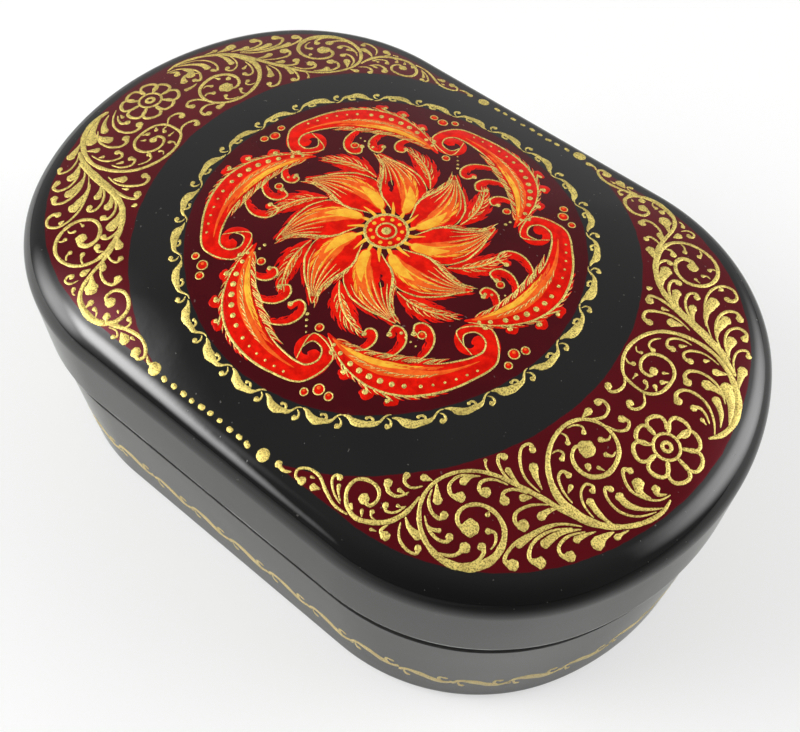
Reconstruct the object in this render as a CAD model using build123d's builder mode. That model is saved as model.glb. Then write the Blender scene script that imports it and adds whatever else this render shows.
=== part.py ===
from build123d import *
import math
import os

# Lacquered papier-mache box with a lift-off lid, in millimetres.
# X runs along the box, Z is up, and the origin is the centre of the face it stands on.

# Whole box, closed
length = 95.4
width = 64.0
height = 39.3
rim_height = 21.15

# Plan outline: straight sides, corner arcs and a flatter arc across each end
corner_arc_inset = 4.4
end_arc_extra = 4.7

# Lid
seam_gap = 0.15
dome_drop = 5.1
shoulder_radius = 4.0
lid_board_thickness = 3.0
lid_lip_bevel = 0.15

# Base
lid_overhang = 0.4
base_wall = 3.4
base_draft = 0.9
rim_easing = 1.8
bottom_thickness = 4.0
bottom_flange = 2.6
foot_easing = 1.6

# Collar that the lid slides over
collar_thickness = 1.6
collar_clearance = 0.3
collar_bevel = 0.5

# The lid's band takes up this share of the straight side between the lip and the shoulder
lid_band_share = 0.75
# The collar takes up this share of the room between the base's rim and the lid's ceiling
collar_rise_share = 0.55
# The shoulder's arc stops at this slope, in degrees, where the dome goes on from it
shoulder_end_slope = 15
# The foot and the rim are each eased by two flats, which meet where a round edge would be at 45 degrees
easing_knee_share = 1 - math.cos(math.pi / 4)
# Guide points of a dome: this many round the rim, drawn in to these shares of the way out
dome_guides = 12
dome_guide_shares = (0.4, 0.75)

# Insets from the widest outline, measured square to it
collar_outer_inset = lid_overhang + base_wall
collar_inner_inset = collar_outer_inset + collar_thickness
lid_wall = collar_outer_inset - collar_clearance
dome_edge_inset = shoulder_radius * (1 - math.sin(math.radians(shoulder_end_slope)))

# Levels above the standing face
lid_lip_level = rim_height + seam_gap
dome_edge_level = height - dome_drop
ceiling_edge_level = dome_edge_level - lid_board_thickness
shoulder_crest_level = dome_edge_level + shoulder_radius * (1 - math.cos(math.radians(shoulder_end_slope)))
shoulder_foot_level = shoulder_crest_level - shoulder_radius
lid_band_height = (shoulder_foot_level - lid_lip_level) * lid_band_share
lid_board_level = lid_lip_level + lid_band_height
collar_top_level = rim_height + (ceiling_edge_level - rim_height) * collar_rise_share


class Oval(BaseSketchObject):
    """Plan outline of the box, drawn in parallel to the widest one at the given inset."""

    _applies_to = [BuildSketch._tag]

    def __init__(self, inset, mode=Mode.ADD):
        corner_radius = width / 2 - corner_arc_inset
        end_radius = width / 2 + end_arc_extra
        radius_step = end_radius - corner_radius
        centre_step = math.sqrt(radius_step**2 - corner_arc_inset**2)
        end_centre = length / 2 - end_radius
        corner_centre = end_centre + centre_step
        meeting_angle = math.degrees(math.atan2(corner_arc_inset, centre_step))
        corner_turn = 90 - meeting_angle
        side = width / 2 - inset
        with BuildSketch() as outline:
            with BuildLine():
                CenterArc((corner_centre, corner_arc_inset), corner_radius - inset, meeting_angle, corner_turn)
                CenterArc((end_centre, 0), end_radius - inset, -meeting_angle, 2 * meeting_angle)
                CenterArc((corner_centre, -corner_arc_inset), corner_radius - inset, -90, corner_turn)
                mirror(about=Plane.YZ)
                Line((-corner_centre, side), (corner_centre, side))
                Line((-corner_centre, -side), (corner_centre, -side))
            make_face()
        super().__init__(obj=outline.sketch, align=None, mode=mode)


def base_inset(level):
    """Inset of the base's outer face, which draws in evenly from the rim to the foot."""
    return lid_overhang + base_draft * (rim_height - level) / rim_height


def dome_cap(inset, rim_level, crown_level):
    """Solid lens on a level oval rim, rising to its crown as a shallow bowl turned over."""
    with BuildSketch(Plane.XY.offset(rim_level)) as rim:
        Oval(inset)
    floor = rim.sketch.faces()[0]
    rim_edges = floor.outer_wire().edges()
    guides = [(0, 0, crown_level)]
    for share in dome_guide_shares:
        guide_level = crown_level - (crown_level - rim_level) * share**2
        for index in range(dome_guides):
            point = floor.outer_wire().position_at(index / dome_guides)
            guides.append((point.X * share, point.Y * share, guide_level))
    dome = Face.make_surface(rim_edges, surface_points=guides)
    return Solid(Shell([dome, floor]))


# Bottom board: flat underside, eased foot, and a raised centre that plugs into the band
with BuildPart() as base_bottom:
    knee = foot_easing * easing_knee_share
    with BuildSketch(Plane.XY):
        Oval(base_inset(0) + foot_easing)
    with BuildSketch(Plane.XY.offset(knee)):
        Oval(base_inset(knee) + knee)
    with BuildSketch(Plane.XY.offset(foot_easing)):
        Oval(base_inset(foot_easing))
    with BuildSketch(Plane.XY.offset(bottom_flange)):
        Oval(base_inset(bottom_flange))
    loft(ruled=True)
    with BuildSketch(Plane.XY.offset(bottom_flange)):
        Oval(collar_outer_inset)
    extrude(amount=bottom_thickness - bottom_flange)
base_bottom.part.label = "base_bottom"

# Base band: drawn in towards the foot, eased at the rim, and glued round the raised centre of the bottom board
with BuildPart() as base_side:
    rim_knee = rim_easing * easing_knee_share
    with BuildSketch(Plane.XY.offset(bottom_flange)):
        Oval(base_inset(bottom_flange))
    with BuildSketch(Plane.XY.offset(rim_height - rim_easing)):
        Oval(base_inset(rim_height - rim_easing))
    with BuildSketch(Plane.XY.offset(rim_height - rim_knee)):
        Oval(base_inset(rim_height - rim_knee) + rim_knee)
    with BuildSketch(Plane.XY.offset(rim_height)):
        Oval(base_inset(rim_height) + rim_easing)
    loft(ruled=True)
    with BuildSketch(Plane.XY.offset(bottom_flange)):
        Oval(collar_outer_inset)
    extrude(amount=rim_height - bottom_flange, mode=Mode.SUBTRACT)
base_side.part.label = "base_side"

# Collar: inner sleeve glued inside the band, standing proud of the rim to locate the lid
with BuildPart() as collar:
    with BuildSketch(Plane.XY.offset(bottom_thickness)):
        Oval(collar_outer_inset)
        Oval(collar_inner_inset, mode=Mode.SUBTRACT)
    extrude(amount=collar_top_level - bottom_thickness)
    chamfer(collar.faces().sort_by(Axis.Z)[-1].edges(), length=collar_bevel)
collar.part.label = "collar"

# Lid band: straight ring with a bevelled lip, which the lid's board is glued on
with BuildPart() as lid_side:
    with BuildSketch(Plane.XY.offset(lid_lip_level)):
        Oval(0)
        Oval(lid_wall, mode=Mode.SUBTRACT)
    extrude(amount=lid_band_height)
    chamfer(lid_side.faces().sort_by(Axis.Z)[0].outer_wire().edges(), length=lid_lip_bevel)
lid_side.part.label = "lid_side"

# Lid board: rounded shoulder, domed top, and a hollow domed in parallel to it
with BuildPart() as lid_top:
    with BuildSketch(Plane.XY.offset(lid_board_level)):
        Oval(0)
    extrude(amount=shoulder_crest_level - lid_board_level)
    fillet(lid_top.faces().sort_by(Axis.Z)[-1].edges(), radius=shoulder_radius)
    split(bisect_by=Plane.XY.offset(dome_edge_level), keep=Keep.BOTTOM)
    add(dome_cap(dome_edge_inset, dome_edge_level, height))
    with BuildSketch(Plane.XY.offset(lid_board_level)):
        Oval(lid_wall)
    extrude(amount=ceiling_edge_level - lid_board_level, mode=Mode.SUBTRACT)
    add(dome_cap(lid_wall, ceiling_edge_level, height - lid_board_thickness), mode=Mode.SUBTRACT)
lid_top.part.label = "lid_top"

os.makedirs("parts", exist_ok=True)
for piece in (base_bottom, base_side, collar, lid_side, lid_top):
    export_step(piece.part, f"parts/{piece.part.label}.step")
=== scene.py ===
import math
import random

import bpy
import numpy as np
from mathutils import Matrix


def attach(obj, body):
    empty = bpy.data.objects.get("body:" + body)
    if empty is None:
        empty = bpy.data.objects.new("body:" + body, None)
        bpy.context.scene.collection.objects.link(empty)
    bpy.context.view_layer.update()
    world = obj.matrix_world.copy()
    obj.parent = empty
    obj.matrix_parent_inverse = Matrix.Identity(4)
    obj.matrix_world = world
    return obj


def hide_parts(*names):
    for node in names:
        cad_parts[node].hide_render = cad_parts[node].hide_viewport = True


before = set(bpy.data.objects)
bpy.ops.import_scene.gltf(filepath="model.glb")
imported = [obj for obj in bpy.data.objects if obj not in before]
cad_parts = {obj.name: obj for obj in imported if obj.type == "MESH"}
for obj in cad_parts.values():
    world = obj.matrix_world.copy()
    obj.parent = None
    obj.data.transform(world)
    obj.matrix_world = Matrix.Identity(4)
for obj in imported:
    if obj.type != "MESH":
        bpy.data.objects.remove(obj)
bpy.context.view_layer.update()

# Sizes in millimetres, as the CAD part has them. MM takes them to metres.
MM = 0.001
LENGTH, WIDTH, HEIGHT, RIM = 95.4, 64.0, 39.3, 21.15
CORNER_ARC_INSET, END_ARC_EXTRA = 4.4, 4.7
SEAM_GAP, DOME_DROP, SHOULDER, BOARD = 0.15, 5.1, 4.0, 3.0
OVERHANG, BASE_WALL, DRAFT, BOTTOM, FOOT = 0.4, 3.4, 0.9, 4.0, 1.6
COLLAR_WALL, COLLAR_CLEARANCE, COLLAR_SHARE = 1.6, 0.3, 0.55
LIP_ROUND, RIM_ROUND, COLLAR_ROUND, CEILING_ROUND = 0.15, 1.8, 0.5, 1.0
END_SLOPE = math.radians(15)
# How far the shells lie inside the part's walls and below its dome, which leaves room for the paint
HAIR, PAINT_ROOM = 0.02, 0.1

COLLAR_OUTER = OVERHANG + BASE_WALL
COLLAR_INNER = COLLAR_OUTER + COLLAR_WALL
LID_WALL = COLLAR_OUTER - COLLAR_CLEARANCE
DOME_EDGE_INSET = SHOULDER * (1 - math.sin(END_SLOPE))
CROWN = HEIGHT - PAINT_ROOM
DOME_EDGE = HEIGHT - DOME_DROP - PAINT_ROOM
SHOULDER_LEVEL = DOME_EDGE - SHOULDER * math.cos(END_SLOPE)
CEILING_EDGE = DOME_EDGE - BOARD
LIP = RIM + SEAM_GAP
COLLAR_TOP = RIM + (CEILING_EDGE - RIM) * COLLAR_SHARE
CORNER_R = WIDTH / 2 - CORNER_ARC_INSET
END_R = WIDTH / 2 + END_ARC_EXTRA
CENTRE_STEP = math.sqrt((END_R - CORNER_R) ** 2 - CORNER_ARC_INSET ** 2)
END_C = LENGTH / 2 - END_R
CORNER_C = END_C + CENTRE_STEP
MEET = math.atan2(CORNER_ARC_INSET, CENTRE_STEP)

# At the seam: the pale line on the lid's lip, a painted highlight along its worn edge, and the band of the
# base that the lip has rubbed
LIP_HIGHLIGHT_TOP, LIP_HIGHLIGHT_FADE, RUB_FOOT, RUB_FADE = 21.62, 0.08, 18.9, 0.4

# Painted fields: the medallion, the border round it, and the crescents outside a circle, up to an inset
MEDALLION_R, BORDER_R, FIELD_R, FIELD_INSET = 23.4, 24.3, 29.86, 3.4
BORDER_DEGREE = math.radians(1) * BORDER_R

# Thickness of the gold paint and of the enamels, and the rise from one enamel to the next
PAINT, ENAMEL, ENAMEL_RISE = 0.012, 0.008, 0.010


# Outline and surfaces
def polar(r, degrees, cx=0.0, cy=0.0):
    a = math.radians(degrees)
    return cx + r * math.cos(a), cy + r * math.sin(a)


def outline(count):
    """Points of the widest outline, evenly spaced, their outward normals, and the outline's length."""
    pieces = []

    def run(x0, x1, side):
        pieces.append((abs(x1 - x0), lambda f: ((x0 + (x1 - x0) * f, side * WIDTH / 2), (0.0, side))))

    def arc(cx, cy, r, a0, a1):
        def at(f):
            a = a0 + (a1 - a0) * f
            return (cx + r * math.cos(a), cy + r * math.sin(a)), (math.cos(a), math.sin(a))
        pieces.append((r * (a1 - a0), at))

    # The right half; the left one is the same turned half way round
    quarter = math.pi / 2
    run(0, CORNER_C, -1)
    arc(CORNER_C, -CORNER_ARC_INSET, CORNER_R, -quarter, -MEET)
    arc(END_C, 0, END_R, -MEET, MEET)
    arc(CORNER_C, CORNER_ARC_INSET, CORNER_R, MEET, quarter)
    run(CORNER_C, 0, 1)
    total = 2 * sum(size for size, _ in pieces)
    points, normals = [], []
    for k in range(count // 2):
        d = total * k / count
        for size, at in pieces:
            if d <= size:
                p, n = at(d / size)
                points.append(p)
                normals.append(n)
                break
            d -= size
    points, normals = np.array(points), np.array(normals)
    return np.vstack([points, -points]), np.vstack([normals, -normals]), total


def inset_of(x, y):
    """How far inside the widest outline a plan point is."""
    x, y = np.abs(x), np.abs(y)
    corner = CORNER_R - np.hypot(x - CORNER_C, y - CORNER_ARC_INSET)
    end = END_R - np.hypot(x - END_C, y)
    side = WIDTH / 2 - y
    in_end = y * (CORNER_C - END_C) < (x - END_C) * CORNER_ARC_INSET
    return np.where(x < CORNER_C, np.where(in_end, end, side), np.where(in_end, end, corner))


def gauge(x, y, inset=DOME_EDGE_INSET):
    """Share of the way from the middle out to the outline at an inset."""
    x, y = np.abs(x), np.abs(y)

    def circle(cx, cy, r):
        a = cx * cx + cy * cy - r * r
        b = -2 * (cx * x + cy * y)
        return (-b - np.sqrt(np.maximum(b * b - 4 * a * (x * x + y * y), 0))) / (2 * a)

    side = y / (WIDTH / 2 - inset)
    corner = circle(CORNER_C, CORNER_ARC_INSET, CORNER_R - inset)
    end = circle(END_C, 0.0, END_R - inset)
    meet_x = END_C + (END_R - inset) * math.cos(MEET)
    meet_y = (END_R - inset) * math.sin(MEET)
    in_side = x * (WIDTH / 2 - inset) <= CORNER_C * y
    in_end = y * meet_x <= meet_y * x
    return np.where(in_side, side, np.where(in_end, end, corner))


def lid_level(x, y):
    """Height of the lid's outer face over a plan point."""
    inset = inset_of(x, y)
    dome = CROWN - DOME_DROP * gauge(x, y) ** 2
    sine = np.clip(1 - inset / SHOULDER, 0, 1)
    round_off = DOME_EDGE - SHOULDER * (math.cos(END_SLOPE) - np.sqrt(1 - sine ** 2))
    return np.where(inset < DOME_EDGE_INSET, round_off, dome)


def on_lid(uv, lift):
    """Places plan points on the lid's outer face."""
    x, y = uv[:, 0], uv[:, 1]
    return np.c_[x, y, lid_level(x, y) + lift]


def base_inset(level):
    return OVERHANG + DRAFT * (RIM - level) / RIM


WALL_P, WALL_N, WALL_LENGTH = outline(2400)
WALL_P, WALL_N = np.vstack([WALL_P, WALL_P[:1]]), np.vstack([WALL_N, WALL_N[:1]])
WALL_S = np.linspace(0, WALL_LENGTH, len(WALL_P))


def on_wall(uv, lift):
    """Places (distance round the outline, level) on the base's outer face."""
    s = np.mod(uv[:, 0], WALL_LENGTH)
    p, n = (np.c_[np.interp(s, WALL_S, v[:, 0]), np.interp(s, WALL_S, v[:, 1])] for v in (WALL_P, WALL_N))
    out = lift - base_inset(uv[:, 1]) - HAIR
    return np.c_[p + n * out[:, None], uv[:, 1]]


# Shells
AROUND = 480
RING_P, RING_N, _ = outline(AROUND)


def ring(inset, level, share=1.0):
    """The outline at an inset and a level, shrunk to a share of its size."""
    p = (RING_P - RING_N * (inset + HAIR)) * share
    return np.c_[p, np.full(AROUND, level)]


def turn(inset_centre, level_centre, radius, start, stop, steps):
    """Rings of a rounded edge; angle 0 points out and 90 points up, in degrees."""
    rings = []
    for k in range(steps + 1):
        a = math.radians(start + (stop - start) * k / steps)
        rings.append(ring(inset_centre - radius * math.cos(a), level_centre + radius * math.sin(a)))
    return rings


def dome(inset, edge, drop, steps):
    """Rings of a shallow dome, from its middle out to its edge."""
    return [ring(inset, edge + drop * (1 - (k / steps) ** 2), k / steps) for k in range(1, steps)]


def make_object(name, vertices, faces, materials, face_materials=None):
    """Smooth mesh from vertices in millimetres."""
    mesh = bpy.data.meshes.new(name)
    mesh.from_pydata((np.asarray(vertices) * MM).tolist(), [], faces)
    for m in materials:
        mesh.materials.append(m)
    if face_materials is not None:
        mesh.polygons.foreach_set("material_index", np.asarray(face_materials, np.int32))
    mesh.polygons.foreach_set("use_smooth", np.ones(len(mesh.polygons), bool))
    mesh.update()
    obj = bpy.data.objects.new(name, mesh)
    bpy.context.scene.collection.objects.link(obj)
    return obj


def loft(name, rings, materials, start=None, stop=None, second=range(0), third=range(0)):
    """Quads between rings, closed to tips or into a tube. second and third are bands of material 1 and 2."""
    vertices = [p for r in rings for p in r]
    faces, slots = [], []
    closed = start is None
    for k in range(len(rings) if closed else len(rings) - 1):
        a, b = k * AROUND, ((k + 1) % len(rings)) * AROUND
        for i in range(AROUND):
            j = (i + 1) % AROUND
            faces.append((a + i, b + i, b + j, a + j))
            slots.append(1 if k in second else 2 if k in third else 0)
    if not closed:
        first, last = len(vertices), (len(rings) - 1) * AROUND
        vertices += [start, stop]
        for i in range(AROUND):
            j = (i + 1) % AROUND
            faces += [(first, i, j), (first + 1, last + j, last + i)]
            slots += [int(0 in second), int(len(rings) - 2 in second)]
    return make_object(name, vertices, faces, materials, slots)


# Brush strokes
SPAN_SAMPLES = 24


def smooth_path(points, step):
    """Smooth curve through points: even samples, their shares of the way, and their distances along it."""
    p = np.asarray(points, float)
    if len(p) == 2:
        p = np.array([p[0], p.mean(0), p[1]])
    t = np.r_[0, np.cumsum(np.sqrt(np.hypot(*np.diff(p, axis=0).T)) + 1e-6)]
    m = np.zeros_like(p)
    d = np.diff(p, axis=0) / np.diff(t)[:, None]
    h = np.diff(t)[:, None]
    m[1:-1] = (d[1:] * h[:-1] + d[:-1] * h[1:]) / (h[:-1] + h[1:])
    m[0], m[-1] = 1.5 * d[0] - 0.5 * m[1], 1.5 * d[-1] - 0.5 * m[-2]
    fine, index = [], []
    for k in range(len(p) - 1):
        for f in np.linspace(0, 1, SPAN_SAMPLES, endpoint=False):
            w = t[k + 1] - t[k]
            a, b = 2 * f ** 3 - 3 * f ** 2 + 1, f ** 3 - 2 * f ** 2 + f
            fine.append(a * p[k] + b * w * m[k] + (1 - a) * p[k + 1] + (f ** 3 - f ** 2) * w * m[k + 1])
            index.append(k + f)
    fine.append(p[-1])
    index.append(len(p) - 1)
    fine, index = np.array(fine), np.array(index) / (len(p) - 1)
    s = np.r_[0, np.cumsum(np.hypot(*np.diff(fine, axis=0).T))]
    e = np.linspace(0, s[-1], max(6, int(s[-1] / step)))
    return np.c_[np.interp(e, s, fine[:, 0]), np.interp(e, s, fine[:, 1])], np.interp(e, s, index), e


def chord(radius, away):
    """Width of a disc at a distance from its middle."""
    return 2 * np.sqrt(np.maximum(radius ** 2 - away ** 2, 0))


def unit(vector):
    return vector / (np.hypot(*vector) + 1e-9)


# Places across a ribbon of paint, how deep its edges sink into the face, and the width of its tip
ACROSS = np.array([-0.5, -0.46, 0.0, 0.46, 0.5])
SINK, TIP = 0.01, 0.004
# How much a stroke's width sways, how ragged its edges are and how lumpy its round end is
SWAY, RAGGED, LUMPY = 0.07, 0.06, 0.09


class Paint:
    """One layer of paint: brush strokes gathered into one mesh, a little proud of the face they lie on."""

    def __init__(self, name, place, thickness, seed, under=0.0, step=0.14):
        self.name, self.place, self.step = name, place, step
        self.lift = np.array([-SINK, thickness, thickness, thickness, -SINK]) + under
        self.random = random.Random(seed)
        self.vertices, self.faces, self.count = [], [], 0

    def stroke(self, points, widths, head=0.0, wobble=1.0):
        """Stroke through points. widths are spread evenly over them; head is the radius of a round end."""
        path, share, along = smooth_path(points, self.step)
        width = np.interp(share, np.linspace(0, 1, len(widths)), widths)
        phase, beat = self.random.uniform(0, 6.28), self.random.uniform(2.2, 3.4)
        width = width * (1 + wobble * SWAY * np.sin(along * beat + phase))
        ragged = np.array([self.random.uniform(-1, 1) for _ in along])
        width = width + wobble * RAGGED * ragged * np.minimum(width, 0.8)
        if head:
            more = np.linspace(0, head, max(5, int(head / self.step * 1.6)))[1:]
            path = np.vstack([path, path[-1] + unit(path[-1] - path[-2]) * more[:, None]])
            along = np.r_[along, along[-1] + more]
            width = np.r_[width, np.zeros(len(more))]
            lump = 1 + wobble * LUMPY * np.sin(along * 7 / (head + 0.2) + phase)
            width = np.maximum(width, chord(head, along - (along[-1] - head)) * lump)
        else:
            width = width * np.sqrt(np.clip((along[-1] - along) / (width[-1] / 2 + 1e-6), 0, 1))
        self.ribbon(path, width * np.sqrt(np.clip(along / (width[0] / 2 + 0.02), 0, 1)) + TIP)

    def ribbon(self, path, width):
        """Band of paint along a path, lifted a little at random, so that crossing strokes share no plane."""
        direction = np.gradient(path, axis=0)
        direction /= np.hypot(*direction.T)[:, None] + 1e-9
        side = np.c_[-direction[:, 1], direction[:, 0]]
        n, m = len(path), len(ACROSS)
        uv = (path[:, None, :] + side[:, None, :] * (width[:, None] * ACROSS)[:, :, None]).reshape(-1, 2)
        self.vertices.append(self.place(uv, np.tile(self.lift + self.random.uniform(0, 0.004), n)))
        for i in range(n - 1):
            for k in range(m - 1):
                a = self.count + i * m + k
                self.faces.append((a, a + m, a + m + 1, a + 1))
        self.count += n * m

    def dot(self, x, y, radius, stretch=1.0, degrees=0.0):
        """A round or oval touch of the brush."""
        dx, dy = polar(radius * (stretch - 1), degrees)
        ends = ((x - dx, y - dy), (x + dx, y + dy)) if stretch > 1 else ((x - radius * 0.02, y), (x, y))
        start, stop = np.array(ends)
        half = np.hypot(*(stop - start)) / 2
        reach = np.linspace(-1, 1, 15) * (half + radius)
        width = chord(radius, np.maximum(np.abs(reach) - half, 0)) + TIP
        self.ribbon((start + stop) / 2 + unit(stop - start) * reach[:, None], width)

    def loop(self, cx, cy, radius, width, count=40):
        """A closed thin ring."""
        a = np.linspace(0, 2 * math.pi, count)
        self.ribbon(np.c_[cx + radius * np.cos(a), cy + radius * np.sin(a)], np.full(count, width))

    def build(self, material, body):
        obj = make_object(self.name, np.vstack(self.vertices), self.faces, [material])
        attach(obj, body)


# Scrollwork of the near crescent, in plan millimetres, stalk first. A stem is its widths, its head's radius
# and its points; a curl is its head's radius and its points; a leaf is its full width and its points.
LOW_STEMS = (
    ((.2, .45, .5, .5, .75, 1.1, .8, .6, .5, .45, .42, .4, .38, .4, .45, .5, .55, .5, .45, .4, .35, .4),
     .95, (42.95, -5.3), (43.05, -7), (42.4, -9), (41, -11), (39, -12.6), (36.6, -13.4), (34.2, -13.2),
     (32.2, -12.1), (30.7, -10.3), (30, -8.2), (30.1, -6.2), (31, -4.6), (32.5, -3.7), (34.3, -3.7),
     (35.8, -4.6), (36.5, -6.2), (36.4, -7.9), (35.3, -9.2), (33.8, -9.4), (32.6, -8.7), (32.3, -7.6),
     (33.3, -7)),
    ((.3, .5, .55, .5, .4, .38, .36, .36, .42, .45, .5, .6, .75, .95, .85, .65, .5, .45, .4, .4, .42, .45,
     .6), .9, (37.9, -13.3), (35.6, -13.9), (33.2, -14.3), (30.6, -14.9), (28, -15.6), (26, -16.7),
     (24.4, -18.4), (23.6, -20.4), (23.7, -22.3), (24.7, -24), (26.3, -25.2), (28.3, -25.7), (30.3, -25.4),
     (32, -24.2), (32.9, -22.5), (32.8, -20.7), (31.9, -19.3), (30.3, -18.7), (28.7, -19), (27.6, -20.1),
     (27.5, -21.3), (28.3, -22), (29.3, -21.5)),
    ((.2, .5, .5, .5, .45, .42, .4, .38, .36, .36, .34, .34, .4), .55, (23.35, -22.3), (23.3, -24.3),
     (22.6, -26), (21.2, -27.2), (19.5, -27.85), (18, -27.4), (17, -26.2), (17.1, -24.9), (18.2, -24.2),
     (19.6, -24.3), (20.2, -25.2), (19.9, -26.1), (19, -25.9)),
    ((.2, .3, .35, .32, .3, .28, .3, .4), .45, (18.7, -28.1), (16.9, -28.2), (15.2, -27.6), (13.6, -26.85),
     (12.1, -27), (11.35, -27.7), (11.7, -28.35), (12.5, -28.3)),
)
LOW_CURLS = (
    (.33, (34.1, -3.9), (34.3, -4.5), (33.7, -5.1)), (.28, (35.6, -5.1), (35.7, -5.7), (35.1, -6.1)),
    (.28, (30.4, -6.6), (30.8, -5.7), (31.5, -5.3), (32, -5.7)),
    (.28, (30.1, -7.5), (30.8, -7.3), (31.4, -7.8)),
    (.3, (30.9, -10), (31.1, -9.3), (31.7, -9.1), (32, -9.7)),
    (.34, (35.6, -12.7), (34, -12.3), (32.8, -11.4), (32.8, -10.7), (33.5, -10.6)),
    (.32, (38.2, -12.5), (36.6, -12.1), (35.6, -11.2), (35.5, -10.2), (36.2, -9.9), (36.4, -10.3)),
    (.34, (42.6, -7.4), (41.3, -9.3), (39.6, -10.1), (37.9, -9.8), (37.2, -9.1), (37.7, -8.8)),
    (.36, (42.7, -4.9), (42.1, -6.3), (41, -7.1), (39.5, -7.5), (38.2, -7), (37.5, -6.2), (38.1, -5.8)),
    (.42, (31, -4.5), (32, -3.6), (32.6, -2.6), (32.3, -1.5), (31.4, -1.3), (31.1, -1.8)),
    (.42, (33.2, -3.4), (34.5, -3), (35.1, -2.1), (34.7, -1.3), (34, -1.6)),
    (.36, (32.5, -14), (30.4, -13.8), (28.9, -12.7), (28.2, -11.4), (28.6, -10.6), (29.2, -10.9)),
    (.38, (30.6, -15.1), (28.6, -15), (27.2, -14.3), (26.9, -13.7), (27.4, -13.5)),
    (.2, (27.8, -15.9), (26.7, -15.6), (26.2, -15.1)),
    (.5, (31.6, -15), (30.2, -15.6), (29.7, -16.6), (30.3, -17.1)),
    (.55, (29.6, -15.6), (28, -16.2), (27.3, -17.2), (27.6, -17.9), (28.3, -17.7)),
    (.55, (26.3, -17.1), (25.1, -18.3), (25, -19.6), (25.8, -20.2), (26.6, -19.8)),
    (.42, (23.9, -20.9), (24.4, -22.1), (25.5, -22.8), (26.4, -22.7), (26.5, -22.2)),
    (.4, (25, -23.5), (26.2, -24.3), (27.6, -24.5), (28.4, -24.1), (28.3, -23.6)),
    (.55, (28.3, -25.5), (29.7, -24.7), (30.1, -23.4)),
    (.42, (30.9, -24.8), (31.8, -23.6), (31.8, -22.5), (31.3, -22.2)),
    (.32, (32.2, -21.9), (32.1, -20.9), (31.5, -20.3), (30.9, -20.6)),
    (.62, (33.9, -14.5), (32.4, -16), (31.9, -17.5), (32.5, -18.2), (33.2, -17.9)),
    (.58, (35.4, -16.2), (34, -18.6), (33.6, -20.6), (33.9, -21.8), (34.8, -21.6)),
    (.58, (37.2, -14.8), (35.5, -16.9), (35.1, -18.9), (35.8, -20.1), (36.8, -19.7)),
    (.55, (38.3, -14.2), (37.2, -15.9), (37.2, -17.3), (37.9, -17.7), (38.6, -17.2)),
    (.36, (23.5, -25.5), (24.4, -26.8), (25.8, -27.2), (26.7, -26.9), (26.5, -26.4)),
    (.48, (22.7, -26.4), (22.5, -27.3), (23.2, -27.4)),
    (.32, (22.9, -24), (22.4, -25.1), (21.6, -25.5), (21.2, -25.1)),
    (.45, (22.3, -22.7), (21.6, -23.8), (20.5, -23.9), (20, -23.3)),
    (.36, (23, -21.3), (22.1, -22.2), (21.2, -22.1), (21, -21.5)),
    (.2, (22.9, -23.9), (22.6, -24.3), (22.2, -24.4)), (.25, (21.4, -26.9), (20.8, -26.9), (20.6, -26.5)),
    (.32, (17.4, -27.8), (15.9, -27.2), (15, -26.3), (15.1, -25.8), (15.6, -25.8)),
    (.4, (11.1, -28.2), (10.3, -28.6), (9.4, -28.4)),
)
LOW_LEAVES = (
    (.85, (40.6, -11.6), (38.6, -11.8), (36.9, -11.4)),
    (.95, (42.9, -6.5), (41.3, -8.2), (39.9, -8.9), (38.8, -8.8)),
    (1.3, (41.4, -6.6), (40.2, -6.9), (39.5, -6.3)), (.9, (42.4, -5.1), (41.7, -5.8), (41.2, -5.5)),
    (.85, (30.9, -4.5), (31, -3.4)), (1, (32.5, -13.7), (31.1, -13), (30.4, -12.4)),
    (.6, (31.2, -15), (29.6, -14.7), (28.6, -14.4)), (.8, (32.2, -15), (31.5, -15.7)),
    (.8, (26.8, -16.7), (26, -17.5), (25.8, -18.3)), (.95, (23.9, -20.2), (24.5, -20.9), (25.1, -21.5)),
    (.5, (25.5, -24.1), (26.4, -24.1), (27, -23.8)), (.9, (34.9, -14), (34.3, -15), (34.1, -15.9)),
    (.75, (37.8, -13.9), (35.8, -15.4), (34.6, -17.6), (34.1, -19.6)),
    (.95, (37.9, -14.2), (36.5, -16), (36, -17.8)), (.75, (39.1, -13.4), (38.4, -14.6), (38.1, -15.4)),
    (1.4, (40.5, -12.2), (40, -13.4), (39.9, -14.3)), (.7, (41.6, -10.9), (41.2, -12), (41.1, -12.4)),
    (.9, (23.5, -24.8), (24.5, -25.4), (25.7, -25.5)), (.35, (22.2, -27.6), (21.6, -27.8)),
    (.75, (23.4, -20.2), (22.5, -20.5)), (.45, (22.3, -23), (21.3, -23.1)), (.4, (20, -27.5), (19.6, -27)),
    (.4, (18.9, -27.5), (18.4, -27.2)), (.45, (17.2, -27.6), (16.4, -27), (16, -26.5)),
    (.75, (14.7, -27.8), (13.9, -28.1)), (.3, (13.5, -27.3), (13.1, -27.4)),
    (.55, (34.7, -12.3), (34.5, -11.5)), (.45, (36.1, -7.6), (35.4, -7.8)),
    (.7, (34.9, -8.9), (34.5, -8.5)), (.5, (29.7, -19), (29.8, -19.4)),
)
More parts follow.
